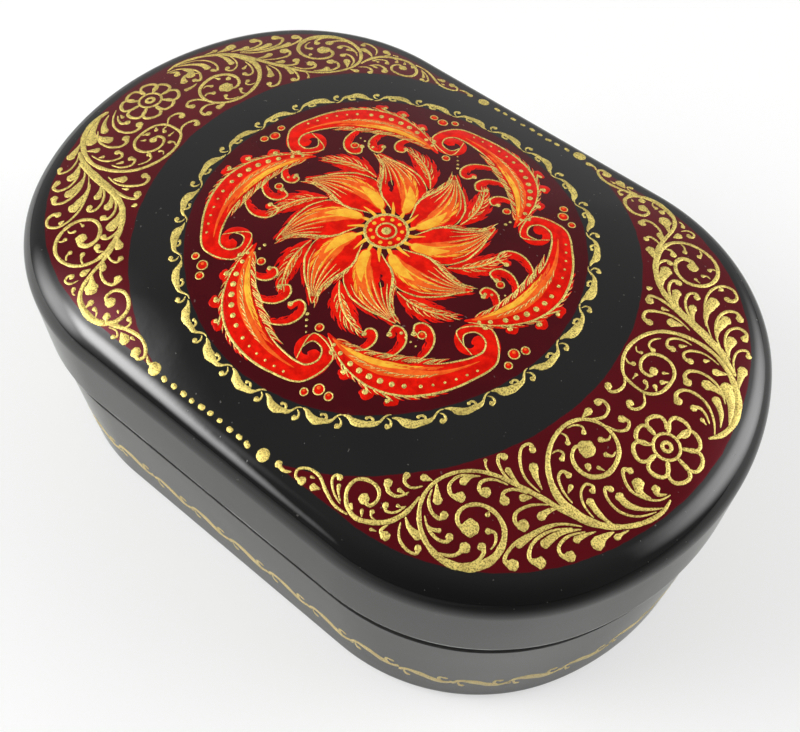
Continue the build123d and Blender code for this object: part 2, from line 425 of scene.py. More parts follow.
HIGH_STEMS = (
    ((.3, .6, .7, .8, .8, .6, .5, .5, .48, .45, .45, .42, .4, .38, .36, .36, .36, .38, .4, .4, .38, .38,
     .36, .36, .36, .4, .45), .5, (42.2, 3.4), (43.1, 5), (43.3, 7.2), (42.6, 9.3), (41.2, 11),
     (39.4, 12.2), (37.2, 12.9), (35, 12.8), (33, 12.1), (31.3, 10.9), (30.2, 9.2), (29.7, 7.2),
     (29.8, 5.4), (30.4, 4), (31.3, 3), (32.8, 2.7), (34.3, 2.9), (35.3, 3.9), (35.6, 5.6), (35.3, 7.2),
     (34.2, 8.1), (32.8, 8), (31.8, 7.1), (31.7, 5.8), (32.4, 4.9), (33.4, 5), (33.4, 5.8)),
    ((.4, .7, .75, .6, .4, .35, .4, .5), .5, (40.4, 12.3), (38.2, 13.4), (35.5, 14), (32.6, 14.4),
     (30, 14.6), (28.2, 14.4), (27.5, 13.9), (27.9, 13.4)),
    ((.5, .7, .75, .7, .7, .75, .6, .45, .42, .42, .45, .5, .5, .45, .42, .45, .5, .6, .7, .8), .7,
     (38.5, 13.7), (34.5, 14.5), (31, 14.9), (28.3, 15.7), (26.4, 17.2), (25.1, 19.2), (24.6, 21.2),
     (24.8, 23.2), (26.1, 24.8), (28.1, 25.4), (30, 25), (31.3, 23.6), (31.6, 21.7), (30.9, 20.1),
     (29.4, 19.2), (27.8, 19.6), (26.9, 20.9), (27.2, 22.2), (28.1, 22.5), (28.7, 21.9)),
    ((.6, .55, .45, .45, .5, .6, .75, .8, .6, .5, .48, .45, .42, .4, .42, .5), .62, (24.8, 19.5),
     (24.2, 21.5), (24, 23), (23.9, 24.6), (23.6, 26.2), (22.8, 27.5), (21.2, 28.3), (19.4, 28.5),
     (17.9, 28), (16.9, 26.9), (16.8, 25.5), (17.6, 24.5), (18.9, 24.1), (20, 24.7), (20.1, 25.8),
     (19.2, 25.9)),
    ((.3, .5, .45, .4, .38, .38, .45, .6), .6, (18, 28), (16.5, 27.5), (14.8, 27), (13, 26.9), (11.7, 27.5),
     (11.2, 28.3), (11.7, 28.8), (12.4, 28.4)),
)
HIGH_CURLS = (
    (.42, (31.2, 3), (32, 2), (31.9, .8), (31.3, .2), (30.8, .6)),
    (.42, (34.1, 2.7), (34.9, 1.6), (34.6, .5), (33.9, .2), (33.7, .6)),
    (.3, (31.6, 9.9), (31, 8.9), (31.1, 8.1), (31.8, 7.9)), (.22, (30.2, 7), (30.7, 6.5), (31.1, 6.7)),
    (.28, (30.1, 4.9), (30.8, 4.6), (31.2, 4.9)), (.2, (32.2, 3.2), (32.2, 4)),
    (.28, (33.9, 3), (33.9, 3.6), (33.4, 3.9)), (.28, (35, 3.9), (34.5, 4.3)),
    (.3, (35.3, 5.9), (34.8, 5.3)), (.2, (34.8, 6.8), (34.3, 6.4)),
    (.38, (34.6, 11.8), (33.1, 11.4), (32.3, 10.4), (32.6, 9.6), (33.3, 9.7)),
    (.38, (38.3, 12), (36.2, 11.9), (34.9, 11), (34.6, 10.1), (35.1, 9.7), (35.7, 9.9)),
    (.5, (41.3, 8.3), (39.6, 9.6), (37.6, 9.7), (36.2, 8.8), (36.1, 7.9), (36.8, 7.4)),
    (.5, (42.4, 4.2), (41.3, 5.7), (39.8, 6.7), (38.1, 6.8), (36.9, 6.1), (36.7, 5.1), (37.3, 4.6)),
    (.4, (41.3, 4.9), (40.3, 5.6), (39.4, 5.7), (39, 5.2)),
    (.42, (33.4, 13.4), (31.2, 13.6), (29.4, 12.8), (28.4, 11.7), (28.7, 10.8), (29.5, 10.8)),
    (.35, (40.3, 12.4), (39.1, 14), (38.9, 15.5), (39.6, 16.3), (40.1, 15.8)),
    (.45, (38.8, 13.6), (37.1, 15.2), (36.6, 17), (37.3, 18.3), (38.3, 18.3), (38.5, 17.5)),
    (.48, (37.4, 13.9), (35.5, 15.7), (34.8, 17.6), (35.1, 19.3), (36, 20), (36.7, 19.5)),
    (.4, (35.9, 14.4), (33.7, 16.5), (32.4, 18.8), (32.2, 20.8), (32.8, 22.3), (34, 22.8),
     (34.9, 22.1), (34.8, 21.2), (34.2, 20.9)),
    (.4, (33.9, 14.6), (31.8, 15.4), (30.7, 16.8), (30.6, 18), (31.2, 18.5), (31.5, 18.1)),
    (.42, (31.4, 15), (29.2, 15.8), (28.2, 17.1), (28.2, 18.1), (28.8, 18.3)),
    (.38, (27.4, 16.1), (26, 17.7), (25.6, 19.3), (26, 20.2), (26.5, 20.2)),
    (.42, (24.9, 21.7), (25.6, 22.1), (26.1, 21.7)), (.32, (25.6, 24.2), (26.4, 23.9), (26.8, 23.3)),
    (.3, (27.9, 25), (28.4, 24.6), (28.4, 24)), (.28, (31, 23.7), (30.6, 23.6), (30.4, 23.1)),
    (.25, (31.2, 21.9), (30.7, 22), (30.3, 21.6)), (.22, (30.7, 20.4), (30, 20.5)),
    (.35, (24.5, 21.4), (23.3, 22), (22.4, 21.8), (22.4, 21.2)),
    (.35, (24.6, 26.1), (25.2, 27), (26, 27), (26.1, 26.3), (25.7, 26.2)),
    (.3, (23.5, 27.6), (24, 27.6), (24.3, 27.2)),
    (.5, (23.9, 22.8), (22.8, 24), (21.4, 24.4), (20.5, 24), (20.6, 23.3)),
    (.28, (19.3, 28.3), (19.7, 27.6), (20.2, 27.5)), (.4, (21.3, 28.2), (21.2, 27.3)),
    (.3, (16.4, 27.4), (15.5, 27), (15.4, 26.3), (15.9, 26.1)),
    (.28, (17.2, 28.1), (16, 27.9), (15.5, 28.3), (15.9, 28.6)), (.42, (11, 28), (10.3, 28.5), (9.6, 28.4)),
)
HIGH_LEAVES = (
    (1.5, (43, 6.4), (41.9, 8.7), (40.4, 10.2)), (1.2, (40.9, 8.9), (39.7, 9.1), (38.5, 8.8)),
    (1, (42.5, 5.4), (41.6, 7), (40.4, 7.9)), (.5, (34.3, 11.4), (33.8, 10.8)),
    (.5, (37.2, 11.8), (36.8, 11.3)), (.9, (39.6, 11.7), (38.5, 10.9)), (.5, (41.2, 4.6), (40.5, 4.8)),
    (1.1, (32.5, 13.4), (31.3, 12.7)), (.5, (30.3, 13.9), (29.6, 13.6)), (.6, (27.1, 15.2), (26.8, 14.8)),
    (1.2, (41.5, 11), (40.9, 12.4), (40.6, 13.5)), (1.2, (38.5, 13.8), (37.8, 15), (37.6, 16)),
    (1.2, (36.3, 14.6), (35.6, 16.2), (35.6, 18)), (1.4, (34.5, 15.4), (33.5, 17.2), (33.3, 19.2)),
    (1, (33.2, 14.8), (32.4, 15.6), (32, 16.4)), (1.1, (30.9, 15.1), (29.9, 15.9), (29.5, 16.8)),
    (1.4, (27.9, 15.9), (27.1, 17.4), (26.8, 18.7)), (.6, (32.8, 21.2), (32.9, 21.7)),
    (.9, (24.3, 22.4), (23.2, 23.3)), (1.1, (24.9, 19.3), (23.8, 20.1)), (.9, (24.5, 24.2), (24.8, 25.1)),
    (1.6, (23.8, 24.6), (22.9, 25.5), (22.4, 26)), (.9, (17.9, 27.8), (18.3, 27.3)),
    (1.2, (15.5, 27.8), (14.5, 28.2)), (.35, (13.4, 27.5), (14, 27.5)), (.3, (17.3, 26.4), (17.6, 26.2)),
    (.4, (16.6, 27.3), (16.7, 26.8)),
)
ROSETTE, FAR_ROSETTE = (39.4, -0.75), (-39.95, -0.45)
# Outline of a petal of the rosette: degrees from its middle line, and distance from the rosette's centre
ROSETTE_PETAL = ((-22, 2.2), (-23, 3), (-15, 3.75), (0, 3.95), (15, 3.75), (23, 3), (22, 2.2))
# Where each leaf of the ring border starts, in degrees round the medallion
BORDER_STARTS = (-94, -82, -71, -60, -47.5, -34, -21, -8.5, 4.5, 18.5, 32, 45, 57.5, 71.5, 85, 98, 110, 122,
                 135, 147, 160, 173, 187, 202, 215, 228, 241, 254)
DOT_PLACES = (-7.5, -6.0, -4.5, -3.2, -1.8, -0.5, 0.9, 2.5, 3.9, 5.15)
# Leaves of the vine round the base, the length that one is drawn at, and its level
VINE_LEAVES, VINE_LEAF, VINE_LEVEL = 39, 6.72, 6.9
# How far the hand strays when it repeats a stroke
STRAY = 0.06


def scroll(paint, stems, curls, leaves, way):
    """Scrollwork of one quarter. way is 1 as listed, or -1 turned half way round the lid."""
    jog = paint.random.uniform

    def moved(points):
        dx, dy = jog(-STRAY, STRAY), jog(-STRAY, STRAY)
        return [((x + dx) * way, (y + dy) * way) for x, y in points]

    for widths, head, *points in stems:
        paint.stroke(moved(points), widths, head)
    for head, *points in curls:
        neck = min(.36, head * .85)
        paint.stroke(moved(points), (.14, neck * .85, neck, neck * 1.1, max(neck * 1.2, head * 1.5)), head)
    for fat, *points in leaves:
        paint.stroke(moved(points), (.12, fat * .42, fat * .75, fat * .95), fat / 2)


def rosette(paint, x, y):
    """Small flower: two rings, eight outlined petals and a short stroke between each two."""
    paint.loop(x, y, 0.5, 0.44)
    paint.loop(x, y, 1.5, 0.34)
    for k in range(8):
        a = 45 * k + 10 + paint.random.uniform(-5, 5)
        spread = paint.random.uniform(0.88, 1.05)
        petal = [polar(reach * spread, a + by, x, y) for by, reach in ROSETTE_PETAL]
        paint.stroke(petal, (.3, .4, .42, .46, .42, .4, .45))
        paint.stroke([polar(r, a + 22.5, x, y) for r in (1.6, 2.2, 3)], (.36, .5, .3))


def border(paint):
    """Ring border: a wavy leaf, a thin line on to the next, a curl under it and a hooked dot outside."""
    pitch = 360 / len(BORDER_STARTS)
    for start, after in zip(BORDER_STARTS, BORDER_STARTS[1:] + (BORDER_STARTS[0] + 360,)):
        scale = (after - start) / pitch
        out = paint.random.uniform(-.12, .16)

        def at(*points):
            return [polar(BORDER_R + v + out, start + u * scale / BORDER_DEGREE) for u, v in points]

        full = paint.random.uniform(.8, 1.15)
        top = .22 + paint.random.uniform(-.1, .12)
        leaf = at((-.35, -.66), (.3, -.5), (.95, -.02), (1.8, top), (2.75, .2), (3.5, .12), (3.95, -.2))
        paint.stroke(leaf, (.12, .42, .95 * full, full, .66, .46, .26))
        paint.stroke(at((3.75, .1), (4.1, -.35), (4.6, -.72), (5.1, -.76)), (.26, .24, .16, .12))
        paint.stroke(at((2.9, .15), (3.05, -.25), (2.75, -.55), (2.35, -.45)), (.3, .3, .28, .2), .2)
        paint.stroke(at((4.5, -.45), (4.95, -.1), (4.95, .42), (4.6, .5)), (.08, .2, .3, .34), .3)


def vine(paint):
    """Side vine: long wavy leaves end to end, each with a hooked tip, a comma above and a drop below."""
    pitch = WALL_LENGTH / VINE_LEAVES
    scale = pitch / VINE_LEAF
    for k in range(VINE_LEAVES):
        start = k * pitch + .4
        rise = VINE_LEVEL + .45 * math.sin(k * .9) + .3 * math.sin(k * 2.3 + 1)
        full = paint.random.uniform(.88, 1.12)

        def at(*points):
            return [(start + u * scale, rise + v) for u, v in points]

        leaf = at((0, -.35), (.9, .75), (2.5, .6), (4.3, -.3), (5.6, -.65), (6.4, -.2), (6.5, .35))
        paint.stroke(leaf, (.3, .85, 1.55 * full, 1.5 * full, .95, .55, .4))
        paint.stroke(at((6.4, -.2), (6.75, -.55), (7.1, -.1)), (.26, .3, .34))
        paint.stroke(at((5.5, -.4), (5, .35), (5.2, 1.2), (5.75, 1.1)), (.24, .44, .48, .46), .36)
        paint.stroke(at((.7, .3), (.75, -.6), (1.1, -1.1)), (.18, .36, .42), .4)


def arc_path(r0, a0, r1, a1, bow=0.0, count=7):
    """Points from one polar place to another, swelling outward by bow half way."""
    shares = [k / (count - 1) for k in range(count)]
    return [polar(r0 + (r1 - r0) * f + bow * math.sin(math.pi * f), a0 + (a1 - a0) * f) for f in shares]


def curl_path(cx, cy, r0, r1, a0, a1, count):
    """Points of a spiral round a centre, from radius r0 to r1 and from angle a0 to a1."""
    shares = [k / (count - 1) for k in range(count)]
    return [polar(r0 + (r1 - r0) * f ** .8, a0 + (a1 - a0) * f, cx, cy) for f in shares]


class Blade:
    """A long shape of the medallion: its middle line, its widths, and the lanes along it."""

    def __init__(self, points, widths):
        self.points, self.widths = points, widths

    def lane(self, shift):
        """The curve at a share of the half width beside the middle line."""
        path, share, _ = smooth_path(self.points, 0.4)
        width = np.interp(share, np.linspace(0, 1, len(self.widths)), self.widths)
        run = np.gradient(path, axis=0)
        run /= np.hypot(*run.T)[:, None]
        return path + np.c_[-run[:, 1], run[:, 0]] * (shift * width / 2)[:, None]

    def stretch(self, shift, start, stop):
        """A few points of a lane, between two shares of its length."""
        path = self.lane(shift)
        n = len(path) - 1
        cut = path[int(round(n * start)):int(round(n * stop)) + 1]
        return cut[::max(1, len(cut) // 9)]

    def fringe(self, paint, shift, start, stop, count, lean, reach, width):
        """Fine hairs off a lane, each leaning away from its run by an angle in degrees."""
        path = self.lane(shift)
        n = len(path) - 1
        for k in range(count):
            i = min(max(int(n * (start + (stop - start) * k / (count - 1))), 1), n - 1)
            run = path[i + 1] - path[i - 1]
            b = math.degrees(math.atan2(run[1], run[0]))
            size = reach * (.7 + .3 * math.sin(math.pi * (k + .5) / count)) * paint.random.uniform(.8, 1.15)
            middle = polar(size * .55, b + lean, *path[i])
            end = polar(size * .5, b + lean * .4, *middle)
            paint.stroke([path[i], middle, end], (width, width * .9, .03), wobble=0)


def berry(red, orange, bright, x, y, size):
    """Red berry with an orange gleam and a gold outline."""
    red.dot(x, y, size)
    orange.dot(x - size * .25, y + size * .28, size * .36)
    bright.loop(x, y, size, .14, 26)


def tendril(red, bright, points, size):
    """A curled side shoot: a red stroke, and beside it a gold line that ends in a bead."""
    shoot = Blade(points, (.15 * size, .6 * size, .9 * size, .8 * size, .55 * size))
    shoot.fringe(red, .8, .1, .6, 6, 30, .9 * size, .2)
    red.stroke(points, shoot.widths, .40 * size)
    bright.stroke(shoot.lane(-.85), (.05, .15, .2, .2, .18), .27 * size)


# The flower's petals: how many, the first one's turn, the radii of root and tip, and the swirl
PETALS, PETAL_TURN, PETAL_ROOT, PETAL_TIP, PETAL_SWIRL = 8, 8, 2.9, 12.7, 37


def bloom(red, orange, yellow, bright):
    """Flower of the medallion: swirled petals in three colours with fine gold lines, pointed leaves between
    their tips, and an eye of rings and dots."""
    turns = [360 / PETALS * k + PETAL_TURN for k in range(PETALS)]
    for a in turns:
        leaf = Blade(arc_path(8.6, a + 40, 14.1, a + 66, .3), (.3, 1.7, 2.5, 2.2, 1.1, .12))
        for side in (1, -1):
            leaf.fringe(red, .9 * side, .3, .95, 9, 24 * side, 1.3, .24)
        red.stroke(leaf.points, leaf.widths, wobble=.5)
        orange.stroke(leaf.stretch(.1, .2, .8), (.1, .6, .6, .1))
        for side in (1, -1):
            leaf.fringe(bright, .2 * side, .25, .9, 8, 26 * side, 1.4, .11)
        bright.stroke(leaf.points, (.1, .24, .22, .1), wobble=.4)
    for a in turns:
        petal = Blade(arc_path(PETAL_ROOT, a, PETAL_TIP, a + PETAL_SWIRL, count=8),
                      (1.8, 3.7, 5.2, 5.6, 4.9, 3.2, 1.3, .15))
        petal.fringe(red, 1, .35, .95, 16, 24, 1.7, .26)
        petal.fringe(red, -1, .45, .95, 12, -22, 1.4, .24)
        red.stroke(petal.points, petal.widths, wobble=.4)
        orange.stroke(petal.lane(-.25)[1:-5], (.8, 1.7, 2.1, 1.9, 1.2, .6, .12), wobble=.5)
        petal.fringe(orange, .1, .25, .78, 14, 16, 1.9, .22)
        petal.fringe(orange, -.6, .45, .86, 10, -12, 1.4, .2)
        yellow.stroke(petal.lane(-.3)[1:12], (.8, 1.25, 1.3, .8, .12), wobble=.5)
        petal.fringe(yellow, -.12, .2, .56, 9, 12, 1.5, .18)
        petal.fringe(yellow, -.52, .22, .56, 7, -10, 1.3, .16)
        for j in range(6):
            vein = petal.stretch(-.75 + .3 * j, .42 + .04 * (j % 3), .94)
            bright.stroke(vein, (.04, .13, .1, .04), wobble=0)
        bright.stroke(petal.lane(1)[1:], (.1, .24, .3, .2, .08), wobble=.8)
        bright.stroke(petal.stretch(-1, .3, 1), (.06, .2, .2, .08), wobble=.6)
        petal.fringe(bright, 1, .45, .97, 11, 28, 1.4, .11)
        for j in range(4):
            bright.dot(*polar(14 + .62 * j, a + 39 + 1.6 * j), .19 - .03 * j)
        berry(red, orange, bright, *polar(14.7, a + 47.5), .46)
    for k in range(16):
        a = 22.5 * k
        yellow.stroke([polar(2.2, a), polar(3.2, a + 3), polar(4.1 + .5 * (k % 2), a + 8)], (.5, .42, .1))
    red.loop(0, 0, 1.25, 2.4)
    for radius, width in ((2.5, .34), (1.15, .22)):
        bright.loop(0, 0, radius, width)
    bright.dot(0, 0, .55)
    for k in range(10):
        yellow.dot(*polar(1.82, 36 * k), .24)


# The plumes: how many, radius and angle of their start, and their outermost radius; angle and radius of the
# scroll that ends them; and how far out their shoots may reach
PLUMES, PLUME_R, PLUME_START, PLUME_OUT = 6, 14.9, -27, 20.3
SCROLL_AT, SCROLL_R, SHOOT_LIMIT = 30, 2.7, 22.1
PLUME_WIDTHS = (.2, 1.3, 2.5, 3.5, 4, 3.8, 3.2, 2.6, 2.1, 1.7, 1.5, 1.3, 1.15, 1, .9, .85, .85, .9, 1, 1.1,
                1.1)
# Steps of the shoots on a plume's two edges, outward in millimetres and round in degrees
INNER_SHOOT = ((-.4, 4.5), (-1.6, 8.5), (-2.9, 8.6), (-3.3, 6), (-2.6, 4.6))
OUTER_SHOOT = ((.35, 2.4), (1.1, 5), (1.9, 5.4), (2.2, 4), (1.7, 3.1))


def flourish(red, orange, yellow, bright, a):
    """Scrolled plume outside the flower: feathered, with a dotted spine, curled shoots along both edges, and
    berries beyond its head."""
    def turned(points):
        return [polar(math.hypot(x, y), a + math.degrees(math.atan2(y, x))) for x, y in points]

    def shoot(edge, share, steps, size):
        x, y = edge[int(len(edge) * share)]
        r, b = math.hypot(x, y), math.degrees(math.atan2(y, x))
        points = [(x, y)] + [polar(min(r + out, SHOOT_LIMIT), b + on) for out, on in steps]
        tendril(red, bright, points, size)

    body = arc_path(PLUME_R, PLUME_START, PLUME_OUT, SCROLL_AT, 1.7, 9)
    centre = polar(PLUME_OUT - SCROLL_R, SCROLL_AT)
    curl = curl_path(*centre, SCROLL_R, .8, SCROLL_AT, SCROLL_AT + 420, 13)
    plume = Blade(turned(body + curl[1:]), PLUME_WIDTHS)
    for share, reach in ((.12, .75), (.22, 1.05), (.33, 1.25)):
        shoot(plume.lane(1), share, [(out * reach, on * reach) for out, on in INNER_SHOOT], .9 + .2 * reach)
    for share in (.02, .10, .18, .255):
        shoot(plume.lane(-1), share, OUTER_SHOOT, .95)
    plume.fringe(red, 1, .04, .46, 34, 26, 2.3, .28)
    plume.fringe(red, -1, .04, .44, 24, -24, 1.3, .24)
    red.stroke(plume.points, plume.widths, .85, wobble=.4)
    orange.stroke(plume.stretch(.35, .03, .60), (.12, .7, 1.3, 1.5, 1.3, .9, .5, .3, .1), wobble=.6)
    plume.fringe(orange, .6, .05, .44, 28, 20, 1.7, .2)
    yellow.stroke(plume.stretch(.62, .06, .34), (.08, .4, .6, .4, .06), wobble=.4)
    plume.fringe(yellow, .7, .1, .36, 14, 18, 1.5, .15)
    plume.fringe(bright, 1, .05, .45, 24, 30, 2.1, .11)
    plume.fringe(bright, -1, .06, .42, 14, -28, 1.1, .11)
    plume.fringe(bright, .1, .12, .42, 14, 24, 1.5, .1)
    bright.stroke(plume.stretch(-1, .02, .98), (.06, .2, .28, .22, .15, .1), wobble=.8)
    bright.stroke(plume.stretch(1, .40, .96), (.06, .2, .2, .16, .12), wobble=.6)
    spine = plume.lane(-.42)
    for j in range(14):
        x, y = spine[int(len(spine) * (.06 + .04 * j))]
        bright.dot(x, y, .14 + .2 * math.sin(math.pi * min(1, (j + 1) / 10)))
    for b, r, size in ((38.6, 21.3, .6), (42.0, 21.8, .46), (34.8, 22.0, .42)):
        berry(red, orange, bright, *turned([polar(r, b)])[0], size)


def medallion():
    """Painting of the medallion, one piece to each colour, the later ones over the earlier."""
    layers = {"bloom_red": red_enamel, "bloom_orange": orange_enamel, "bloom_yellow": yellow_enamel,
              "bloom_gold": gold}
    paints = [Paint(name, on_lid, ENAMEL, 21 + k, ENAMEL_RISE * k) for k, name in enumerate(layers)]
    bloom(*paints)
    for k in range(PLUMES):
        flourish(*paints, 360 / PLUMES * k + 12)
    for paint in paints:
        paint.build(layers[paint.name], "lid")


# Materials
class Nodes:
    """A node tree, with short ways to add nodes and join them."""

    def __init__(self, tree):
        self.tree = tree

    def node(self, kind, **settings):
        n = self.tree.nodes.new(kind)
        for key, value in settings.items():
            setattr(n, key, value)
        return n

    def join(self, value, socket):
        """Link a socket to another, or give it a constant. A colour may leave out its alpha."""
        if isinstance(value, bpy.types.NodeSocket):
            self.tree.links.new(value, socket)
        elif isinstance(value, tuple) and socket.type == "RGBA":
            socket.default_value = (*value, 1)
        else:
            socket.default_value = value

    def feed(self, node, sockets, values):
        for socket, value in zip(sockets, values):
            self.join(value, node.inputs[socket])
        return node

    def math(self, operation, a, b):
        return self.feed(self.node("ShaderNodeMath", operation=operation), (0, 1), (a, b)).outputs[0]

    def add(self, a, b):
        return self.math("ADD", a, b)

    def times(self, a, b):
        return self.math("MULTIPLY", a, b)

    def vector(self, operation, a, b=(0, 0, 0)):
        return self.feed(self.node("ShaderNodeVectorMath", operation=operation), (0, 1), (a, b)).outputs

    def along(self, place, azimuth, reach=1.0):
        """How far a place lies in a level direction, times the reach."""
        return self.vector("DOT_PRODUCT", place, direction(azimuth, 0) * reach)["Value"]

    def remap(self, value, a, b, c=0.0, d=1.0):
        """Smooth step from c to d while the value goes from a to b."""
        n = self.node("ShaderNodeMapRange", interpolation_type="SMOOTHSTEP")
        return self.feed(n, range(5), (value, a, b, c, d)).outputs[0]

    def blend(self, share, a, b):
        """Mix of two numbers."""
        return self.feed(self.node("ShaderNodeMix", data_type="FLOAT"), (0, 2, 3), (share, a, b)).outputs[0]

    def mix(self, share, a, b):
        """Mix of two colours."""
        return self.feed(self.node("ShaderNodeMix", data_type="RGBA"), (0, 6, 7), (share, a, b)).outputs[2]

    def camera_rays(self):
        return self.node("ShaderNodeLightPath").outputs["Is Camera Ray"]


class Finish(Nodes):
    """A material with one shader, and patterns placed on the object."""

    def __init__(self, name):
        self.material = bpy.data.materials.new(name)
        self.material.use_nodes = True
        super().__init__(self.material.node_tree)
        self.shader = self.tree.nodes["Principled BSDF"]
        self.place = self.node("ShaderNodeTexCoord").outputs["Object"]

    def noise(self, scale, detail=2.0, rough=0.5):
        sockets = "Vector", "Scale", "Detail", "Roughness"
        n = self.feed(self.node("ShaderNodeTexNoise"), sockets, (self.place, scale, detail, rough))
        return n.outputs[0]

    def bump(self, height, strength, distance):
        n = self.node("ShaderNodeBump")
        return self.feed(n, ("Strength", "Distance", "Height"), (strength, distance, height)).outputs[0]

    def set(self, **values):
        self.feed(self.shader, (key.replace("_", " ") for key in values), values.values())


def direction(azimuth, elevation):
    """Unit vector towards an azimuth, counted from the x axis, and an elevation, in degrees."""
    x, y = polar(math.cos(math.radians(elevation)), azimuth)
    return np.array([x, y, math.sin(math.radians(elevation))])


# LIP_HIGHLIGHT_PALE is the colour of the painted highlight along the lid's lip
DUST, LIP_HIGHLIGHT_PALE, MAROON_SHEEN = (.25, .24, .22), (.82, .84, .82), (1, .30, .38)
MEDALLION_MAROON, MEDALLION_DEEP = (.050, .0014, .0028), (.036, .0010, .0020)
CRESCENT_MAROON, CRESCENT_DEEP = (.082, .0018, .0036), (.064, .0014, .0028)
# How soft the painted fields' edges are, and how far they wander
FIELD_SOFT, FIELD_WAVER = .06, .35


def lacquer(name, colour, deep, coat=""):
    """Polished lacquer with a faint swell and dust. coat is "lid" for the painted fields and the painted
    highlight along the lip, or "base" for the dull edge of the rubbed band."""
    f = Finish(name)
    tone = f.mix(f.remap(f.noise(60, 4), .35, .65), colour, deep)
    dust = f.remap(f.noise(2600, 0), .835, .865)
    gloss = f.add(f.remap(f.noise(45, 5), .3, .7, .035, .06), f.times(dust, .25))
    level = f.feed(f.node("ShaderNodeSeparateXYZ"), (0,), (f.place,)).outputs["Z"]
    if coat == "lid":
        tone, maroon = painted_fields(f, tone)
        # Painted highlight: a pale, patchy line round the lid's lip, over its worn edge
        lip_highlight = f.remap(level, (LIP_HIGHLIGHT_TOP - LIP_HIGHLIGHT_FADE) * MM, LIP_HIGHLIGHT_TOP * MM, 1, 0)
        lip_highlight = f.times(lip_highlight, f.remap(f.noise(90, 3), .36, .56, 0, .6))
        tone = f.mix(lip_highlight, tone, LIP_HIGHLIGHT_PALE)
        f.set(Specular_Tint=f.mix(maroon, (1, 1, 1), MAROON_SHEEN))
    if coat == "base":
        gloss = f.add(gloss, f.remap(level, (RUB_FOOT - RUB_FADE) * MM, RUB_FOOT * MM, 0, .35))
    tone = f.mix(f.times(dust, .2), tone, DUST)
    swell = f.add(f.times(f.noise(110, 1), .8), f.times(f.noise(700, 2), .06))
    f.set(Base_Color=tone, Roughness=gloss, IOR=1.5, Normal=f.bump(swell, 1.0, .00006))
    return f.material


def painted_fields(f, tone):
    """Maroon medallion and crescents with slightly uneven edges: the colour, and where it is maroon."""
    def passed(value, edge, inside=0, outside=1):
        return f.remap(value, (edge - FIELD_SOFT) * MM, (edge + FIELD_SOFT) * MM, inside, outside)

    flat = f.vector("MULTIPLY", f.place, (1, 1, 0))["Vector"]
    waver = f.times(f.math("SUBTRACT", f.noise(420, 2), .5), FIELD_WAVER * MM)
    radius = f.add(f.vector("LENGTH", flat)["Value"], waver)
    inset = f.node("ShaderNodeAttribute", attribute_name="inset").outputs["Fac"]
    inset = f.add(f.times(inset, MM), waver)
    disc = passed(radius, MEDALLION_R, 1, 0)
    crescents = f.times(passed(radius, FIELD_R), passed(inset, FIELD_INSET))
    shade = f.remap(f.noise(180, 4), .3, .7)
    tone = f.mix(disc, tone, f.mix(shade, MEDALLION_MAROON, MEDALLION_DEEP))
    tone = f.mix(crescents, tone, f.mix(shade, CRESCENT_MAROON, CRESCENT_DEEP))
    return tone, f.math("MAXIMUM", disc, crescents)


def metal_paint(name, bright, dark, metal):
    """Powdered metal in varnish: fine grain, thin and thick places, and a clear coat."""
    f = Finish(name)
    fine = f.noise(5800, 3, .7)
    broad = f.remap(f.noise(520, 3), .4, .65)
    tone = f.mix(f.remap(fine, .40, .53), dark, bright)
    tone = f.mix(f.times(broad, .36), tone, dark)
    f.set(Base_Color=tone, Metallic=metal, Roughness=f.remap(fine, .3, .7, .36, .54), IOR=1.5,
          Specular_IOR_Level=.3, Normal=f.bump(fine, .7, .00005), Coat_Weight=.12, Coat_Roughness=.1)
    return f.material


def enamel(name, light, deep):
    """Opaque tempera colour under lacquer, brushed thick and thin."""
    f = Finish(name)
    brush = f.remap(f.noise(900, 4, .6), .32, .68)
    fine = f.noise(5200, 2)
    f.set(Base_Color=f.mix(brush, deep, light), Roughness=f.remap(fine, .3, .7, .10, .22), IOR=1.5,
          Specular_IOR_Level=.3, Specular_Tint=light, Normal=f.bump(fine, .3, .00003))
    return f.material


def raw_edge(name, colour, pale):
    """Matt edge that the lid has rubbed bare of its gloss."""
    f = Finish(name)
    f.set(Base_Color=f.mix(f.noise(1500), colour, pale), Roughness=.75, Specular_IOR_Level=.15)
    return f.material


BLACK, BLACK_DEEP = (.0046, .0042, .0040), (.0030, .0028, .0028)
lid_black = lacquer("lid_black_lacquer", BLACK, BLACK_DEEP, "lid")
base_black = lacquer("base_black_lacquer", BLACK, BLACK_DEEP, "base")
inner_red = lacquer("inner_red_lacquer", (.36, .018, .010), (.28, .012, .007))
rim_black = raw_edge("rim_raw_black", (.004, .004, .004), (.009, .008, .007))
gold = metal_paint("gold_paint", (.88, .72, .20), (.32, .22, .05), .5)
red_enamel = enamel("red_enamel", (.76, .011, .004), (.50, .006, .003))
orange_enamel = enamel("orange_enamel", (.82, .145, .018), (.72, .07, .010))
yellow_enamel = enamel("yellow_enamel", (.84, .48, .045), (.78, .30, .024))
vine_gold = metal_paint("tan_gold_paint", (.80, .65, .29), (.50, .37, .14), .35)

# The shells. A guard is the step from a rounded edge to the ring beyond it, which keeps the face there flat.
EDGE_GUARD, CORNER_GUARD, INNER_GUARD = 0.03, 0.1, 0.2


